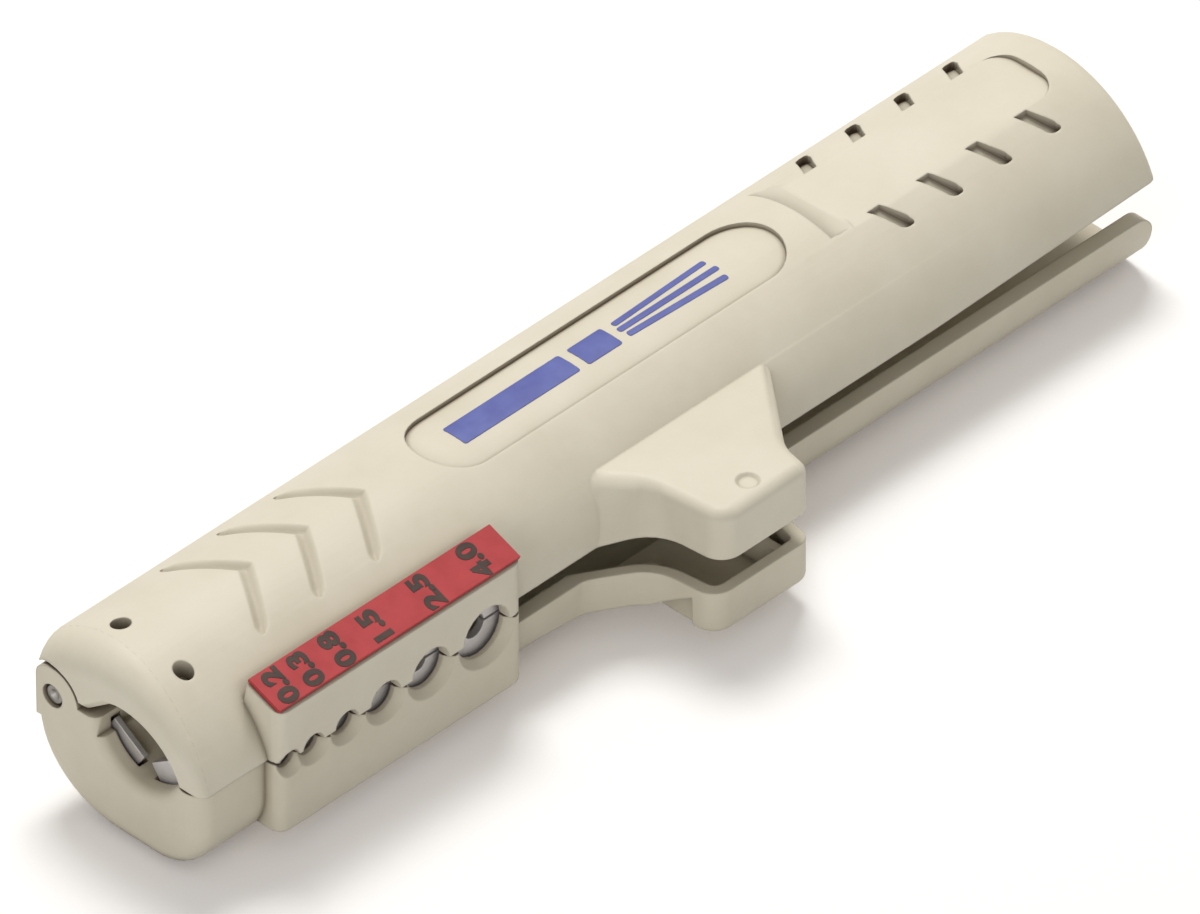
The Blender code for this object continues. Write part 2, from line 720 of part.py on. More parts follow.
def make_lower_lever():
    lever = slab("lower_lever", lever_section(), 0, lever_length, collection=parts)
    cut(lever, lever_head_cutter())
    flange = slab("lower_flange", rounded([
        (flange_start, near_wall + lever_wall, 0), (flange_start, flange_face, upright_rounding),
        (flange_end, flange_face, upright_rounding), (flange_end, near_wall + lever_wall, 0)], 5),
        lever_top - flange_drop, lever_top, from_above)
    combine(flange, slab("lower_flange_side", rounded([
        (flange_start - past, lever_top + past, 0), (flange_end, lever_top + past, 0),
        (flange_end, lever_top - flange_drop, flange_corner),
        (flange_start - past, lever_top - flange_drop, 0)], 6),
        -near_wall - 2 * lever_wall, -flange_face + past, along_side), "INTERSECT")
    wing_root = near_wall + lower_wing_root
    wing = slab("lower_wing", lower_wing_foot(wing_root, 2 * wing_blend), wing_bottom, rim, from_above)
    round_edges(wing, lambda co: co.z < wing_bottom + hair and co.y < wing_root - hair,
                wing_edge_rounding, 4)
    under = wing_bottom + undercut_height
    cut(wing, slab("wing_undercut", [(near_wall + lever_wall, under), (near_edge - lower_wing_turn, under),
                                     (near_edge - undercut_end, rim - wing_wall),
                                     (near_edge - undercut_end, wing_bottom - past),
                                     (near_wall + lever_wall, wing_bottom - past)],
                   flange_end, wing_head - wing_lean / 2))
    ears = [slab("head_ear", knuckle_section(), 0, head_knuckle),
            slab("rear_ear", knuckle_section(), rear_knuckle_start, rear_knuckle_end)]
    foot_top = parting_height + ear_tab_rise - fit_gap
    foot_low = lever_top - knuckle_radius
    foot_near = pin_y - ear_foot_reach
    foot_far = pin_y - knuckle_radius / 2
    ear_foot = slab("ear_foot", [(foot_near, foot_low), (foot_near, foot_top), (foot_far, foot_top),
                                 (foot_far, foot_low)], 0, head_block)
    join(lever, flange, wing, ears[0], ear_foot)

    cut(lever, slab("lever_hollow", lever_hollow(), head_block, lever_length + past))
    join(lever, ears[1])
    cut(lever, slab("rim_cut", [(flange_end, rim)] + arc((lever_length - spoon_radius, rim - spoon_radius),
                    spoon_radius, 90, 0, 6) + [(tool_length + past, rim - spoon_radius),
                    (tool_length + past, lever_top + past), (flange_end, lever_top + past)],
                    0, -flange_face + past, along_side))
    pocket = slab("wing_pocket", lower_wing_foot(near_wall + lever_wall + wing_wall, inset=wing_wall),
                  wing_bottom + wing_wall, rim + past, from_above)
    step = wing_head + wing_wall
    cut(pocket, wing_rib("lower_wing_rib", wing_bottom, rim - rib_thickness),
        slab("pocket_step", [(flange_end, wing_tip), (step, wing_tip),
                             (step, near_wall), (flange_end, near_wall)],
             wing_bottom, rim - 2 * wing_wall, from_above))
    cut(lever, pocket)

    seat = (seat_y, parting_height + seat_rise)
    cut(lever, rod("cable_seat", seat, seat_radius, -past, head_block + past, segments=64))
    cut(lever, soft_mouth("seat_mouth", seat, seat_radius, seat_rounding))
    cut(lever, rod("front_relief", (pin_y, pin_z), relief_radius, head_knuckle,
                   rear_knuckle_start))
    cut(lever, rod("tail_relief", (pin_y, pin_z), relief_radius, rear_knuckle_end, tool_length + past))
    cut(lever, rod("lever_bore", (pin_y, pin_z), bore_radius, -past, rear_knuckle_end + past, segments=24))

    cut(lever, *notch_cutters("lower_notch", True))
    cut(lever, blade_slot("lower_blade_slot", shell_edge + past, lever_top - wire_blade_height - fit_gap))
    for side, name in ((1, "far"), (-1, "near")):
        cut(lever, slab(f"sheath_slot_{name}", grown(lower_sheath_outline(side), fit_gap),
                        sheath_blade_front - fit_gap, sheath_blade_front + sheath_blade_thickness + fit_gap))
    return lever


# Steel pieces

def lower_sheath_outline(side):
    return sheath_v(side, parting_height - lower_v_depth, 1)


def upper_sheath_outline():
    """An upside-down V in one plate, over the cable."""
    apex = Vector((cable_axis_y, parting_height + upper_v_height))
    run = sheath_blade_reach * math.cos(sheath_v_angle) * 0.95
    fall = run * math.tan(sheath_v_angle)
    width = upper_sheath_width
    return [tuple(apex), (apex.x - run, apex.y - fall), (apex.x - run, apex.y - fall + width),
            (apex.x - run * 0.4, apex.y + width), (apex.x + run * 0.4, apex.y + width),
            (apex.x + run, apex.y - fall + width), (apex.x + run, apex.y - fall)]


def wire_blade(name, edge, back):
    """A steel strip with a half-round notch for each wire size along its edge."""
    start = flange_start + wire_blade_margin
    end = flange_end - wire_blade_margin
    away = 1 if back > edge else -1
    outline = [(start, back), (start, edge)]
    for share, _, radius in wire_notches:
        skip = math.degrees(math.asin(abs(edge - parting_height) / radius))
        center = (flange_start + share * flange_length, parting_height)
        outline += arc(center, radius, away * (180 - skip), away * skip, 10)
    outline += [(end, edge), (end, back)]
    return slab(name, outline, -blade_inner, -blade_outer, along_side, parts)


def make_pin():
    pin = rod("hinge_pin", (pin_y, pin_z), pin_radius, pin_recess, rear_knuckle_end - pin_recess,
              segments=32, collection=parts)
    cut(pin, rod("pin_dimple", (pin_y, pin_z), pin_dimple, pin_recess - hair,
                 pin_recess + pin_dimple / 2, tip_radius=pin_dimple * 0.3, segments=16))
    return pin


def make_size_strip():
    """The printed strip on the sloping top of the upper flange."""
    slope = math.atan2(flange_slope_rise, flange_slope_run)
    down = Vector((math.sin(slope), -math.cos(slope)))
    near = Vector((flange_face, flange_edge_z))
    far = near + Vector((flange_slope_run, flange_slope_rise))
    along = (far - near).normalized()
    near += along * strip_margin * 0.5
    outline = [tuple(near), tuple(far), tuple(far + down * strip_thickness),
               tuple(near + down * strip_thickness)]
    return slab("size_strip", outline, flange_start + strip_margin, flange_end - strip_margin,
                collection=parts)


def place(piece, body, material, offset):
    """Give a piece its material and hang it on its body."""
    piece.data.materials.clear()
    piece.data.materials.append(material)
    piece.data.shade_smooth()
    piece.data.set_sharp_from_angle(angle=math.radians(30))
    piece.parent = body
    piece.location = offset


lever_pieces = [
    (make_lower_lever(), lever_plastic),
    (make_pin(), pin_steel),
    (wire_blade("lower_wire_blade", lever_top, lever_top - wire_blade_height), blade_steel),
    (slab("sheath_blade_far", lower_sheath_outline(1), sheath_blade_front,
          sheath_blade_front + sheath_blade_thickness, collection=parts), blade_steel),
    (slab("sheath_blade_near", lower_sheath_outline(-1), sheath_blade_front,
          sheath_blade_front + sheath_blade_thickness, collection=parts), blade_steel),
]
shell_pieces = [
    (make_upper_shell(), shell_plastic),
    (wire_blade("upper_wire_blade", shell_edge, shell_edge + wire_blade_height), blade_steel),
    (slab("upper_sheath_blade", upper_sheath_outline(),
          sheath_blade_front + sheath_blade_spacing + fit_gap,
          sheath_blade_front + sheath_blade_spacing + fit_gap + sheath_blade_thickness,
          collection=parts), blade_steel),
    (make_size_strip(), red_label),
]

# The lever's body has the origin under the middle of the belly flat; the shell's body is on the pin
belly_middle = (near_wall + belly_near_radius + lever_far - belly_far_radius) / 2
lever_body = bpy.data.objects.new("lever_body", None)
lever_body.location = (-lever_length / 2, -belly_middle, belly_drop)
shell_body = bpy.data.objects.new("jaw_hinge", None)
shell_body.parent = lever_body
shell_body.location = (0, pin_y, pin_z)
for body in (lever_body, shell_body):
    parts.objects.link(body)

for piece, material in lever_pieces:
    place(piece, lever_body, material, (0, 0, 0))
for piece, material in shell_pieces:
    place(piece, shell_body, material, (0, -pin_y, -pin_z))
for cutter in cutters.objects:
    cutter.parent = lever_body
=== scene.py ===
import math

import bpy
from mathutils import Matrix, Vector


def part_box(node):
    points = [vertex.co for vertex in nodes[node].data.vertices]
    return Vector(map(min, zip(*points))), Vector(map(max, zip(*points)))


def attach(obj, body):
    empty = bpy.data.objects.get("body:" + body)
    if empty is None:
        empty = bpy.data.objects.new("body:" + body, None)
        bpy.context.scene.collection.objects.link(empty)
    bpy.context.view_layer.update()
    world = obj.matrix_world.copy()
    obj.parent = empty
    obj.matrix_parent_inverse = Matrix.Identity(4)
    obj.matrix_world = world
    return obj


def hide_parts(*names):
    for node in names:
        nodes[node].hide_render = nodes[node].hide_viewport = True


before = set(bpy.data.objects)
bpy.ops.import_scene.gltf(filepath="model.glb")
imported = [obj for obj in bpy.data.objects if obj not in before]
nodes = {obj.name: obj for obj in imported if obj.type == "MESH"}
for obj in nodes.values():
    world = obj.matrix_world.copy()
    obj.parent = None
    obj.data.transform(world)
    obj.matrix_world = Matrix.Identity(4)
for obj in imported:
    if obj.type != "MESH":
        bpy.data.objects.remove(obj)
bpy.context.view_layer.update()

scene = bpy.context.scene
headX = -0.06225             # where the head face lies, the tool's lengths count from it
axisY, axisZ = 0.004052, 0.0062     # axis of the shell's round back
noiseSpan = 0.3, 0.7         # values that a noise mostly keeps to


# Stage: white floor, studio light and the photograph's viewpoint

stageSet = {
    "azimuth": -45.31,           # degrees round from straight at the near side
    "elevation": 38.87,
    "roll": -0.38,
    "distance": 3.4,             # metres, a long product lens
    "clipEnd": 20,
    "pixelsPerMetre": 10931,     # at the tool, in the 1200 pixel wide frame
    "frameWidth": 1200,
    "frameHeight": 914,
    "sensor": 36.0,
    "aimPixel": (611.0, 457.45),  # where the middle of the tool lands in the frame
    "aimPoint": (0.0, 0.0005, 0.0092),
    "floorSize": 3.0,
    "floorRough": 0.95, "floorShine": 0.05,
    "floorColor": (0.84, 0.845, 0.865),
    "floorGlow": 0.19,           # lifts the lit floor to white for the camera only
    "glowColor": (1.0, 0.89, 0.79),
    "worldColor": (1.0, 0.99, 0.97),
    "worldStrength": 0.36,
    "keyPlace": (0.26, 0.34, 0.84), "keySize": (0.40, 0.34), "keyPower": 6.5,
    "keyColor": (1.0, 0.985, 0.95),
    "fillPlace": (-0.76, -0.32, 0.34), "fillSize": (0.6, 0.4), "fillPower": 1.7,
    "fillColor": (1.0, 1.0, 1.0),
    "lampAim": (0, 0, 0.01),
}


def viewAxes(azimuth, elevation, roll):
    a, e, r = (math.radians(value) for value in (azimuth, elevation, roll))
    ahead = Vector((-math.sin(a) * math.cos(e), math.cos(a) * math.cos(e), -math.sin(e)))
    right = Vector((math.cos(a), math.sin(a), 0.0))
    up = right.cross(ahead)
    return right * math.cos(r) + up * math.sin(r), up * math.cos(r) - right * math.sin(r), ahead


def addCamera(s):
    right, up, ahead = viewAxes(s["azimuth"], s["elevation"], s["roll"])
    data = bpy.data.cameras.new("productCamera")
    camera = bpy.data.objects.new("productCamera", data)
    scene.collection.objects.link(camera)
    data.sensor_width = s["sensor"]
    data.lens = s["sensor"] * s["pixelsPerMetre"] * s["distance"] / s["frameWidth"]
    data.clip_end = s["clipEnd"]
    away = Vector(s["aimPoint"]) - ahead * s["distance"]
    turn = Matrix((right, up, -ahead)).transposed().to_4x4()
    camera.matrix_world = Matrix.Translation(away) @ turn
    data.shift_x = (s["frameWidth"] / 2 - s["aimPixel"][0]) / s["frameWidth"]
    data.shift_y = (s["aimPixel"][1] - s["frameHeight"] / 2) / s["frameWidth"]
    scene.camera = camera


def addFloor(s):
    bpy.ops.object.select_all(action="DESELECT")
    bpy.ops.mesh.primitive_plane_add(size=s["floorSize"], location=(0, 0, 0))
    floor = bpy.context.active_object
    floor.name = "floor"
    paint, tree, shader = newMaterial("studioFloor")
    shader.inputs["Base Color"].default_value = (*s["floorColor"], 1)
    shader.inputs["Roughness"].default_value = s["floorRough"]
    shader.inputs["Specular IOR Level"].default_value = s["floorShine"]
    glow = tree.nodes.new("ShaderNodeEmission")
    glow.inputs["Color"].default_value = (*s["glowColor"], 1)
    rays = tree.nodes.new("ShaderNodeLightPath")
    level = tree.nodes.new("ShaderNodeMath")
    level.operation = "MULTIPLY"
    level.inputs[1].default_value = s["floorGlow"]
    both = tree.nodes.new("ShaderNodeAddShader")
    tree.links.new(rays.outputs["Is Camera Ray"], level.inputs[0])
    tree.links.new(level.outputs[0], glow.inputs["Strength"])
    tree.links.new(shader.outputs[0], both.inputs[0])
    tree.links.new(glow.outputs[0], both.inputs[1])
    tree.links.new(both.outputs[0], tree.nodes["Material Output"].inputs["Surface"])
    floor.data.materials.append(paint)


def addLamp(s, kind):
    data = bpy.data.lights.new(kind + "Bank", "AREA")
    data.shape = "RECTANGLE"
    data.size, data.size_y = s[kind + "Size"]
    data.energy = s[kind + "Power"]
    data.color = s[kind + "Color"]
    lamp = bpy.data.objects.new(kind + "Bank", data)
    scene.collection.objects.link(lamp)
    lamp.location = s[kind + "Place"]
    toTool = Vector(s["lampAim"]) - Vector(s[kind + "Place"])
    lamp.rotation_euler = toTool.to_track_quat("-Z", "Y").to_euler()


def lightStage(s):
    world = bpy.data.worlds.new("studioWorld")
    scene.world = world
    world.use_nodes = True
    tree = world.node_tree
    soft = tree.nodes["Background"]
    soft.inputs["Color"].default_value = (*s["worldColor"], 1)
    soft.inputs["Strength"].default_value = s["worldStrength"]
    white = tree.nodes.new("ShaderNodeBackground")
    white.inputs["Color"].default_value = (1, 1, 1, 1)
    rays = tree.nodes.new("ShaderNodeLightPath")
    seen = tree.nodes.new("ShaderNodeMath")
    seen.operation = "MAXIMUM"
    pick = tree.nodes.new("ShaderNodeMixShader")
    tree.links.new(rays.outputs["Is Camera Ray"], seen.inputs[0])
    tree.links.new(rays.outputs["Is Glossy Ray"], seen.inputs[1])
    tree.links.new(seen.outputs[0], pick.inputs["Fac"])
    tree.links.new(soft.outputs[0], pick.inputs[1])
    tree.links.new(white.outputs[0], pick.inputs[2])
    tree.links.new(pick.outputs[0], tree.nodes["World Output"].inputs["Surface"])
    addLamp(s, "key")
    addLamp(s, "fill")
    scene.view_settings.view_transform = "Standard"


# Materials

def newMaterial(name):
    material = bpy.data.materials.new(name)
    material.use_nodes = True
    return material, material.node_tree, material.node_tree.nodes["Principled BSDF"]


def addGroup(name, inputs, outputs):
    group = bpy.data.node_groups.new(name, "ShaderNodeTree")
    for label, kind in inputs:
        group.interface.new_socket(label, in_out="INPUT", socket_type=kind)
    for label, kind in outputs:
        group.interface.new_socket(label, in_out="OUTPUT", socket_type=kind)
    return group, group.nodes.new("NodeGroupInput"), group.nodes.new("NodeGroupOutput")


def addNoise(tree, vector, scale, detail, rough=0.5):
    noise = tree.nodes.new("ShaderNodeTexNoise")
    if isinstance(scale, float):
        noise.inputs["Scale"].default_value = scale
    else:
        tree.links.new(scale, noise.inputs["Scale"])
    noise.inputs["Detail"].default_value = detail
    noise.inputs["Roughness"].default_value = rough
    tree.links.new(vector, noise.inputs["Vector"])
    return noise.outputs["Fac"]


def remap(tree, value, fromLow, fromHigh, toLow, toHigh):
    ranged = tree.nodes.new("ShaderNodeMapRange")
    for label, number in (("From Min", fromLow), ("From Max", fromHigh),
                          ("To Min", toLow), ("To Max", toHigh)):
        ranged.inputs[label].default_value = number
    tree.links.new(value, ranged.inputs["Value"])
    return ranged.outputs["Result"]


def math2(tree, operation, one, two):
    node = tree.nodes.new("ShaderNodeMath")
    node.operation = operation
    for socket, value in zip(node.inputs, (one, two)):
        if isinstance(value, (int, float)):
            socket.default_value = value
        else:
            tree.links.new(value, socket)
    return node.outputs[0]


def weigh(tree, one, two, share):
    first = math2(tree, "MULTIPLY", one, share)
    return math2(tree, "ADD", first, math2(tree, "MULTIPLY", two, 1 - share))


def mixColors(tree, amount, one, two):
    mix = tree.nodes.new("ShaderNodeMix")
    mix.data_type = "RGBA"
    tree.links.new(amount, mix.inputs["Factor"])
    for label, value in ((6, one), (7, two)):
        if isinstance(value, tuple):
            mix.inputs[label].default_value = (*value, 1)
        else:
            tree.links.new(value, mix.inputs[label])
    return mix.outputs[2]


grainSet = {
    "cloudDetail": 2.0,
    "grainDetail": 4.0, "grainRough": 0.6,
    "flow": 640.0, "flowDetail": 3.0,      # tone between the clouds and the grain
    "toneShare": 0.75,                     # of the clouds, the rest is flow
    "glossShare": 0.6,                     # of the flow, the rest is grain
}


def moldGrainGroup(s):
    # fine spark-eroded grain of a mould, with slow clouds in tone and gloss
    group, start, end = addGroup(
        "moldGrain",
        [("Vector", "NodeSocketVector"), ("Grain Scale", "NodeSocketFloat"),
         ("Cloud Scale", "NodeSocketFloat")],
        [("Tone", "NodeSocketFloat"), ("Gloss", "NodeSocketFloat"), ("Height", "NodeSocketFloat")])
    vector = start.outputs["Vector"]
    cloud = addNoise(group, vector, start.outputs["Cloud Scale"], s["cloudDetail"])
    grain = addNoise(group, vector, start.outputs["Grain Scale"], s["grainDetail"], s["grainRough"])
    flow = addNoise(group, vector, s["flow"], s["flowDetail"])
    group.links.new(weigh(group, cloud, flow, s["toneShare"]), end.inputs["Tone"])
    group.links.new(weigh(group, flow, grain, s["glossShare"]), end.inputs["Gloss"])
    group.links.new(grain, end.inputs["Height"])
    return group


brushSet = {
    "lineScale": 1.0, "lineDetail": 5.0, "lineRough": 0.65,   # the stretch sets the real scale
    "cloud": 420.0, "cloudDetail": 2.0,
    "toneShare": 0.5,                                         # of the lines, the rest is clouds
}


def brushedGroup(s):
    # grinding lines along one direction, in tone, gloss and height
    group, start, end = addGroup(
        "groundSteel",
        [("Vector", "NodeSocketVector"), ("Stretch", "NodeSocketVector")],
        [("Tone", "NodeSocketFloat"), ("Gloss", "NodeSocketFloat"), ("Height", "NodeSocketFloat")])
    pull = group.nodes.new("ShaderNodeVectorMath")
    pull.operation = "MULTIPLY"
    group.links.new(start.outputs["Vector"], pull.inputs[0])
    group.links.new(start.outputs["Stretch"], pull.inputs[1])
    lines = addNoise(group, pull.outputs[0], s["lineScale"], s["lineDetail"], s["lineRough"])
    cloud = addNoise(group, start.outputs["Vector"], s["cloud"], s["cloudDetail"])
    group.links.new(weigh(group, lines, cloud, s["toneShare"]), end.inputs["Tone"])
    group.links.new(lines, end.inputs["Gloss"])
    group.links.new(lines, end.inputs["Height"])
    return group


def placeGroup(tree, group, values):
    box = tree.nodes.new("ShaderNodeGroup")
    box.node_tree = group
    where = tree.nodes.new("ShaderNodeTexCoord")
    tree.links.new(where.outputs["Object"], box.inputs["Vector"])
    for label, value in values.items():
        box.inputs[label].default_value = value
    return box


def finishSurface(tree, shader, box, rough, s):
    # gloss from the group, and its height as bump over edges that look rounded
    gloss = remap(tree, box.outputs["Gloss"], *noiseSpan, *rough)
    tree.links.new(gloss, shader.inputs["Roughness"])
    soft = tree.nodes.new("ShaderNodeBevel")
    soft.samples = sampleSet["edge"]
    soft.inputs["Radius"].default_value = s["edge"]
    bump = tree.nodes.new("ShaderNodeBump")
    bump.inputs["Strength"].default_value = s["bump"]
    bump.inputs["Distance"].default_value = s["bumpDepth"]
    tree.links.new(soft.outputs["Normal"], bump.inputs["Normal"])
    tree.links.new(box.outputs["Height"], bump.inputs["Height"])
    tree.links.new(bump.outputs["Normal"], shader.inputs["Normal"])


def toneColor(tree, box, tones, span):
    tone = remap(tree, box.outputs["Tone"], *span, 0.0, 1.0)
    return mixColors(tree, tone, tones["deep"], tones["light"])


def creviceShade(tree, crevice, color):
    # painted shade: darkens the colour in gaps, pockets and grooves, as far as ambient occlusion
    # finds them closed in
    shade = tree.nodes.new("ShaderNodeAmbientOcclusion")
    shade.samples = sampleSet["crevice"]
    shade.inputs["Distance"].default_value = crevice["reach"]
    depth = remap(tree, shade.outputs["AO"], crevice["closed"], crevice["open"], 1.0, 0.0)
    return mixColors(tree, math2(tree, "POWER", depth, crevice["power"]), color, crevice["color"])


sampleSet = {"edge": 6, "crevice": 8}
moldSet = {
    "shell": {"light": (0.722, 0.672, 0.552), "deep": (0.665, 0.612, 0.488)},
    "lever": {"light": (0.690, 0.636, 0.510), "deep": (0.632, 0.574, 0.448)},
    # painted shade in the plastic's colour: dark brown in gaps and pockets, a lighter brown in
    # grooves
    "gapShade": {"color": (0.12, 0.083, 0.053), "reach": 0.0022, "closed": 0.05, "open": 0.92,
            "power": 1.2},
    "groove": {"color": (0.30, 0.245, 0.165), "reach": 0.0006, "closed": 0.30, "open": 0.95,
               "power": 1.1},
    "rough": (0.44, 0.58),
    "ior": 1.5, "shine": 0.32,
    "grain": 5200.0, "cloud": 110.0,
    "bump": 0.16, "bumpDepth": 0.00003,
    "edge": 0.0003,
}


def moldedPlastic(name, tones, s, grain):
    material, tree, shader = newMaterial(name)
    box = placeGroup(tree, grain, {"Grain Scale": s["grain"], "Cloud Scale": s["cloud"]})
    color = toneColor(tree, box, tones, noiseSpan)
    # painted shade over the plastic's own tone, first in grooves, then in gaps and pockets
    color = creviceShade(tree, s["gapShade"], creviceShade(tree, s["groove"], color))
    tree.links.new(color, shader.inputs["Base Color"])
    shader.inputs["IOR"].default_value = s["ior"]
    shader.inputs["Specular IOR Level"].default_value = s["shine"]
    finishSurface(tree, shader, box, s["rough"], s)
    return material


steelSet = {
    "blade": {"light": (0.72, 0.69, 0.68), "deep": (0.56, 0.53, 0.52), "rough": (0.34, 0.52),
              "metal": 0.55, "stretch": (700.0, 9000.0, 9000.0)},
    "pin": {"light": (0.42, 0.40, 0.37), "deep": (0.22, 0.20, 0.18), "rough": (0.30, 0.55),
            "metal": 1.0, "stretch": (9000.0, 900.0, 900.0)},
    "bump": 0.25, "bumpDepth": 0.00002,
    "edge": 0.00012,
}


def groundSteel(name, finish, s, brushed):
    material, tree, shader = newMaterial(name)
    box = placeGroup(tree, brushed, {"Stretch": finish["stretch"]})
    tree.links.new(toneColor(tree, box, finish, noiseSpan), shader.inputs["Base Color"])
    shader.inputs["Metallic"].default_value = finish["metal"]
    finishSurface(tree, shader, box, finish["rough"], s)
    return material


inkSet = {
    "strip": {"light": (0.50, 0.056, 0.060), "deep": (0.42, 0.041, 0.045), "rough": (0.42, 0.56)},
    "number": {"light": (0.085, 0.050, 0.040), "deep": (0.040, 0.026, 0.022), "rough": (0.5, 0.7)},
    "mark": {"light": (0.105, 0.130, 0.400), "deep": (0.075, 0.090, 0.330), "rough": (0.4, 0.55)},
    "toneSpan": (0.32, 0.68),
    "shine": 0.3,
    "grain": 2600.0, "cloud": 420.0,
    "bump": 0.1, "bumpDepth": 0.00002,
    "edge": 0.00008,
}


def printedInk(name, tones, s, grain):
    material, tree, shader = newMaterial(name)
    box = placeGroup(tree, grain, {"Grain Scale": s["grain"], "Cloud Scale": s["cloud"]})
    tree.links.new(toneColor(tree, box, tones, s["toneSpan"]), shader.inputs["Base Color"])
    shader.inputs["Specular IOR Level"].default_value = s["shine"]
    finishSurface(tree, shader, box, tones["rough"], s)
    return material


# Small helpers for new pieces

def selectOnly(pieces):
    bpy.ops.object.select_all(action="DESELECT")
    for piece in pieces:
        piece.select_set(True)
    bpy.context.view_layer.objects.active = pieces[0]


def joinPieces(pieces, name):
    selectOnly(pieces)
    bpy.ops.object.join()
    joined = bpy.context.active_object
    joined.name = name
    return joined


def addPlate(size):
    # a flat plate on the origin, left in edit mode with all of it selected
    bpy.ops.object.select_all(action="DESELECT")
    bpy.ops.mesh.primitive_plane_add(size=1, location=(0, 0, 0))
    plate = bpy.context.active_object
    bpy.ops.object.mode_set(mode="EDIT")
    bpy.ops.mesh.select_all(action="SELECT")
    bpy.ops.transform.resize(value=(*size, 1))
    return plate


# The shell with its grip pockets and ramp cut out to the full, as in the photograph

# start, end and first are from the head face, the sideways places and heights from the axis
pocketSet = {
    "count": 4, "first": 0.0962, "pitch": 0.00647,   # middles of the pockets
    "inner": 0.0040, "outer": 0.0071,                # ends of a pocket, sideways
    "innerZ": 0.01239, "drop": 0.00164,              # floor of a pocket, and its fall outwards
    "width": 0.0016,
    "slant": 0.60,                                   # towards the tail on the way outwards
    "corner": 0.0006,
}
rampSet = {
    "start": 0.0904, "end": 0.0929,                  # the end meets the tail panel
    "near": -0.0044, "far": 0.0070,
    "topZ": 0.01306, "drop": 0.0011,                 # panel floor, and the fall to the head
    "corner": 0.0011,
}
easeSet = {                                          # takes the hard line off the panel's near side
    "start": 0.0931, "end": 0.1188,
    "near": -0.0056, "far": -0.0022,
    "topZ": 0.01318, "drop": 0.0005,
    "fade": 0.00014,                                 # rise to the tail, where the cut runs out
    "corner": 0.0004,
}
shellSet = {"cutterHeight": 0.004, "cornerSteps": 5, "weld": 0.000002}


def pickCorners(cutter, picked):
    bpy.ops.mesh.select_all(action="DESELECT")
    bpy.ops.object.mode_set(mode="OBJECT")
    for vertex in cutter.data.vertices:
        vertex.select = picked(vertex.co)
    bpy.ops.object.mode_set(mode="EDIT")


def addCutter(size, shifts, rounded, corner, place):
    # a box with a tilted floor: some of its corners are shifted, and the rounded ones beveled
    cutter = addPlate(size)
    for picked, shift in shifts:
        pickCorners(cutter, picked)
        bpy.ops.transform.translate(value=shift)
    pickCorners(cutter, rounded)
    bpy.ops.mesh.bevel(offset=corner, segments=shellSet["cornerSteps"], affect="VERTICES")
    bpy.ops.mesh.select_all(action="SELECT")
    rise = (0, 0, shellSet["cutterHeight"])
    bpy.ops.mesh.extrude_region_move(TRANSFORM_OT_translate={"value": rise})
    bpy.ops.mesh.select_all(action="SELECT")
    bpy.ops.mesh.normals_make_consistent(inside=False)
    bpy.ops.transform.translate(value=place)
    bpy.ops.object.mode_set(mode="OBJECT")
    return cutter


def addPocketCutter(s, side, distance):
    length = s["outer"] - s["inner"]
    middle = axisY + side * (s["inner"] + s["outer"]) / 2
    return addCutter(
        (s["width"], length),
        [(lambda co: co.y * side > 0, (s["slant"] * length, 0, -s["drop"]))],
        lambda co: co.y * side > 0, s["corner"],
        (headX + distance, middle, axisZ + s["innerZ"]))


def addSpanCutter(s, shifts, rounded):
    size = (s["end"] - s["start"], s["far"] - s["near"])
    middleX = headX + (s["start"] + s["end"]) / 2
    middleY = axisY + (s["near"] + s["far"]) / 2
    return addCutter(size, shifts, rounded, s["corner"], (middleX, middleY, axisZ + s["topZ"]))


def addRampCutter(s):
    fall = (0, 0, -s["drop"])
    return addSpanCutter(s, [(lambda co: co.x < 0, fall)], lambda co: co.y < 0 and co.x < 0)


def addEaseCutter(s):
    fall, fade = (0, 0, -s["drop"]), (0, 0, s["fade"])
    return addSpanCutter(s, [(lambda co: co.y < 0, fall), (lambda co: co.x > 0, fade)],
                         lambda co: co.y > 0)


def addShell(pocket, ramp, ease, s):
    cutters = [addPocketCutter(pocket, side, pocket["first"] + k * pocket["pitch"])
               for side in (-1, 1) for k in range(pocket["count"])]
    cutter = joinPieces(cutters + [addRampCutter(ramp), addEaseCutter(ease)], "tailCutter")
    source = nodes["upper_shell"]
    shell = bpy.data.objects.new("moldedShell", source.data.copy())
    shell.data.transform(source.matrix_world)
    scene.collection.objects.link(shell)
    selectOnly([shell])
    bpy.ops.object.mode_set(mode="EDIT")
    bpy.ops.mesh.select_all(action="SELECT")
    bpy.ops.mesh.remove_doubles(threshold=s["weld"])
    bpy.ops.object.mode_set(mode="OBJECT")
    cut = shell.modifiers.new("tailCuts", "BOOLEAN")
    cut.operation = "DIFFERENCE"
    cut.solver = "EXACT"
    cut.use_self = True      # the cutters overlap each other
    cut.object = cutter
    bpy.ops.object.modifier_apply(modifier=cut.name)
    bpy.data.objects.remove(cutter, do_unlink=True)
    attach(shell, "shell")
    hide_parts("upper_shell")
    print("shell cut", len(shell.data.polygons), "faces")
    return shell


# Soft shading: a live modifier, so the meshes of the carried-over CAD nodes stay as they are

shadeSet = {"weld": 0.000002, "sharpAngle": 34.0}


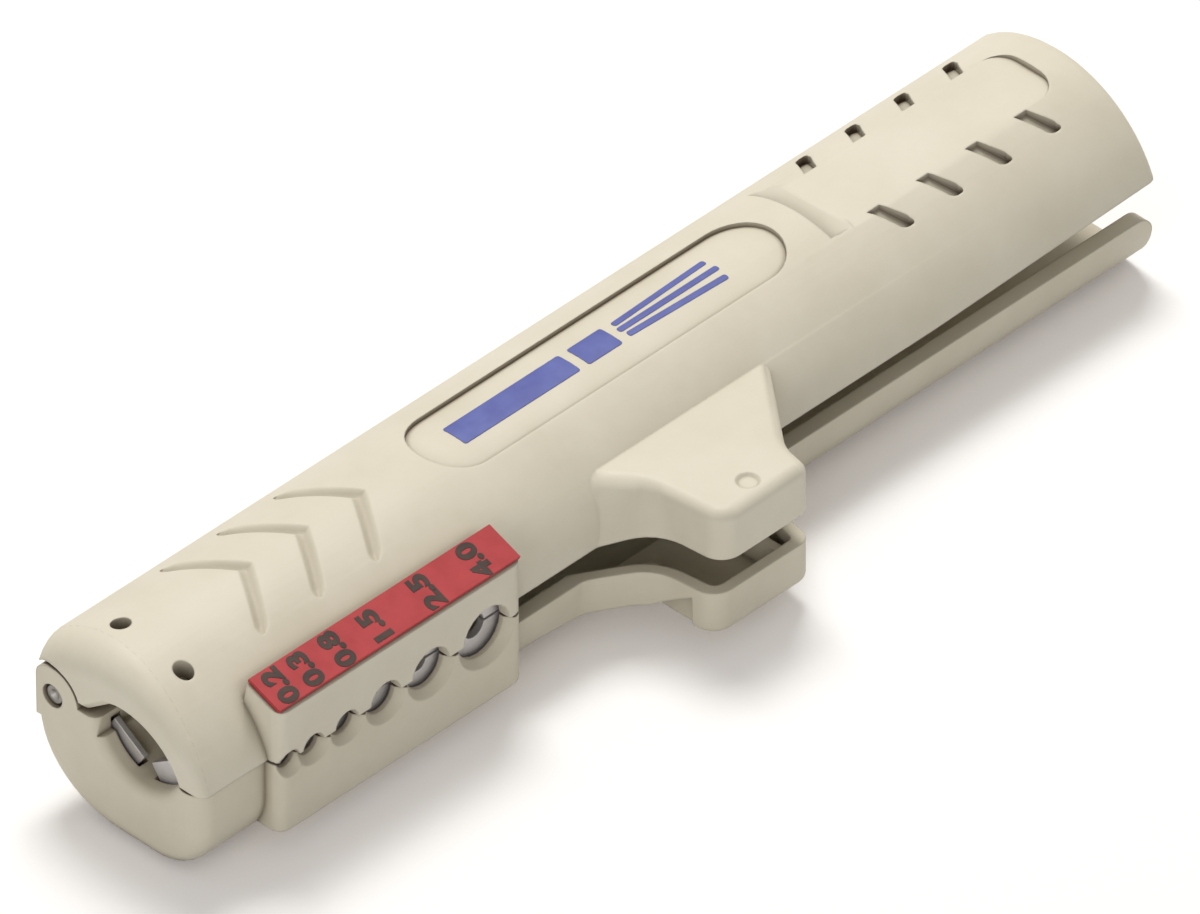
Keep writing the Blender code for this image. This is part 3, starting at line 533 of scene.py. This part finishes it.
def softShadeGroup(s):
    tree = bpy.data.node_groups.new("softShade", "GeometryNodeTree")
    tree.is_modifier = True
    tree.interface.new_socket("Geometry", in_out="INPUT", socket_type="NodeSocketGeometry")
    tree.interface.new_socket("Geometry", in_out="OUTPUT", socket_type="NodeSocketGeometry")
    start, end = tree.nodes.new("NodeGroupInput"), tree.nodes.new("NodeGroupOutput")
    weld = tree.nodes.new("GeometryNodeMergeByDistance")
    weld.inputs["Distance"].default_value = s["weld"]
    smooth = tree.nodes.new("GeometryNodeSetShadeSmooth")
    sharp = tree.nodes.new("GeometryNodeSetShadeSmooth")
    sharp.domain = "EDGE"
    sharp.inputs["Shade Smooth"].default_value = False
    angle = tree.nodes.new("GeometryNodeInputMeshEdgeAngle")
    wide = tree.nodes.new("ShaderNodeMath")
    wide.operation = "GREATER_THAN"
    wide.inputs[1].default_value = math.radians(s["sharpAngle"])
    tree.links.new(start.outputs[0], weld.inputs["Geometry"])
    tree.links.new(weld.outputs["Geometry"], smooth.inputs["Geometry"])
    tree.links.new(smooth.outputs["Geometry"], sharp.inputs["Geometry"])
    tree.links.new(angle.outputs["Unsigned Angle"], wide.inputs[0])
    tree.links.new(wide.outputs[0], sharp.inputs["Selection"])
    tree.links.new(sharp.outputs["Geometry"], end.inputs[0])
    return tree


def dressPiece(node, material, shading):
    node.data.materials.clear()
    node.data.materials.append(material)
    node.modifiers.new("softShade", "NODES").node_group = shading
    weighted = node.modifiers.new("evenNormals", "WEIGHTED_NORMAL")
    weighted.keep_sharp = True


# Printed numbers on the red strip

numberSet = {
    "numbers": [("0.2", 0.0106), ("0.3", 0.0139), ("0.8", 0.0179), ("1.5", 0.0227),
                ("2.5", 0.0294), ("4.0", 0.0357)],   # text and its distance from the head face
    "slope": math.radians(21.32),
    "fromEdge": 0.00207,                 # middle of a number, up the slope from the near edge
    "stretch": (1.24, 1.06),             # wider and a little taller than the plain font
    "fontSize": 0.0026,
    "stroke": 0.00014,                   # how much bolder than the plain font
    "ink": 0.00003,
    "weld": 0.000001,
    "stripThickness": 0.0004,
}


def addNumbers(s, material):
    low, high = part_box("size_strip")
    across, rise = math.cos(s["slope"]), math.sin(s["slope"])
    farY = high[1] - rise * s["stripThickness"]
    nearZ = high[2] - (farY - low[1]) * rise / across
    made = []
    for text, distance in s["numbers"]:
        bpy.ops.object.select_all(action="DESELECT")
        bpy.ops.object.text_add(location=(0, 0, 0))
        drawn = bpy.context.active_object
        drawn.data.body = text
        drawn.data.size = s["fontSize"]
        drawn.data.offset = s["stroke"]
        drawn.data.extrude = s["ink"] / 2
        drawn.data.align_x = "CENTER"
        drawn.data.align_y = "CENTER"
        bpy.ops.object.convert(target="MESH")
        drawn = bpy.context.active_object
        bpy.ops.object.mode_set(mode="EDIT")
        bpy.ops.mesh.select_all(action="SELECT")
        bpy.ops.mesh.remove_doubles(threshold=s["weld"])
        bpy.ops.mesh.normals_make_consistent(inside=False)
        bpy.ops.object.mode_set(mode="OBJECT")
        leastCorner, mostCorner = Vector(drawn.bound_box[0]), Vector(drawn.bound_box[6])
        middle = (leastCorner + mostCorner) / 2
        fit = Matrix.Diagonal((*s["stretch"], 1, 1))
        center = Matrix.Translation((-middle.x, -middle.y, 0))
        reading, up, out = Vector((0, across, rise)), Vector((-1, 0, 0)), Vector((0, -rise, across))
        nearEdge = Vector((headX + distance, low[1], nearZ))
        spot = nearEdge + reading * s["fromEdge"] + out * s["ink"] / 2
        turn = Matrix((reading, up, out)).transposed().to_4x4()
        drawn.matrix_world = Matrix.Translation(spot) @ turn @ fit @ center
        bpy.ops.object.transform_apply(location=True, rotation=True, scale=True)
        made.append(drawn)
    numbers = joinPieces(made, "sizeNumbers")
    numbers.data.materials.clear()
    numbers.data.materials.append(material)
    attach(numbers, "shell")
    print("numbers printed", len(numbers.data.polygons), "faces")


# Plain printed mark in the label recess: a cable with its sheath drawn back from three cores

markSet = {
    "bars": [(0.0530, 0.0, 0.0150, 0.0030, 0.0), (0.0638, 0.0, 0.0044, 0.0030, 0.0),
             (0.0734, 0.00122, 0.0125, 0.00068, 2.2), (0.0734, 0.0, 0.0130, 0.00068, 0.0),
             (0.0734, -0.00122, 0.0125, 0.00068, -2.2)],   # distance, side, length, width, degrees
    "corner": 0.00026, "cornerSteps": 5,
    "ink": 0.00004,
    "lift": 0.00001,                     # of the wrapped bars over the shell
    "filmSide": 0.5,                     # a quarter of the ink grows inwards, the rest outwards
    "startZ": 0.0215,                    # over the shell, from where it's dropped on it
    "slices": 6,                         # along each bar, so that it follows the round recess
}


def addCableMark(s, shell, material):
    made = []
    for distance, side, length, width, turn in s["bars"]:
        bar = addPlate((length, width))
        bpy.ops.mesh.bevel(offset=s["corner"], segments=s["cornerSteps"], affect="VERTICES")
        for k in range(1, s["slices"]):
            bpy.ops.mesh.select_all(action="SELECT")
            cutY = width * (k / s["slices"] - 0.5)
            bpy.ops.mesh.bisect(plane_co=(0, cutY, 0), plane_no=(0, 1, 0))
        bpy.ops.mesh.select_all(action="SELECT")
        bpy.ops.transform.rotate(value=-math.radians(turn), orient_axis="Z",
                                 center_override=(0, 0, 0))
        bpy.ops.transform.translate(value=(headX + distance, axisY + side, s["startZ"]))
        bpy.ops.object.mode_set(mode="OBJECT")
        made.append(bar)
    mark = joinPieces(made, "cableMark")
    wrap = mark.modifiers.new("lieOnShell", "SHRINKWRAP")
    wrap.wrap_method = "PROJECT"
    wrap.use_project_z = True
    wrap.use_negative_direction = True
    wrap.use_positive_direction = False
    wrap.target = shell
    wrap.offset = s["lift"]
    bpy.ops.object.modifier_apply(modifier=wrap.name)
    wall = mark.modifiers.new("inkFilm", "SOLIDIFY")
    wall.thickness = s["ink"]
    wall.offset = s["filmSide"]
    bpy.ops.object.modifier_apply(modifier=wall.name)
    mark.data.materials.clear()
    mark.data.materials.append(material)
    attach(mark, "shell")
    print("mark printed", len(mark.data.polygons), "faces")


addCamera(stageSet)
addFloor(stageSet)
lightStage(stageSet)
print("stage set")

moldGrain, steelGrain = moldGrainGroup(grainSet), brushedGroup(brushSet)
softShade = softShadeGroup(shadeSet)
shellPlastic = moldedPlastic("shellPlastic", moldSet["shell"], moldSet, moldGrain)
leverPlastic = moldedPlastic("leverPlastic", moldSet["lever"], moldSet, moldGrain)
bladeSteel = groundSteel("bladeSteel", steelSet["blade"], steelSet, steelGrain)
pinSteel = groundSteel("pinSteel", steelSet["pin"], steelSet, steelGrain)
stripInk = printedInk("stripRed", inkSet["strip"], inkSet, moldGrain)
numberInk = printedInk("numberInk", inkSet["number"], inkSet, moldGrain)
markInk = printedInk("markInk", inkSet["mark"], inkSet, moldGrain)

addNumbers(numberSet, numberInk)
shell = addShell(pocketSet, rampSet, easeSet, shellSet)
addCableMark(markSet, shell, markInk)

dressPiece(shell, shellPlastic, softShade)
dressPiece(nodes["upper_shell"], shellPlastic, softShade)
dressPiece(nodes["lower_lever"], leverPlastic, softShade)
dressPiece(nodes["hinge_pin"], pinSteel, softShade)
dressPiece(nodes["size_strip"], stripInk, softShade)
for blade in ("lower_wire_blade", "upper_wire_blade",
              "sheath_blade_far", "sheath_blade_near", "upper_sheath_blade"):
    dressPiece(nodes[blade], bladeSteel, softShade)
print("nodes dressed")
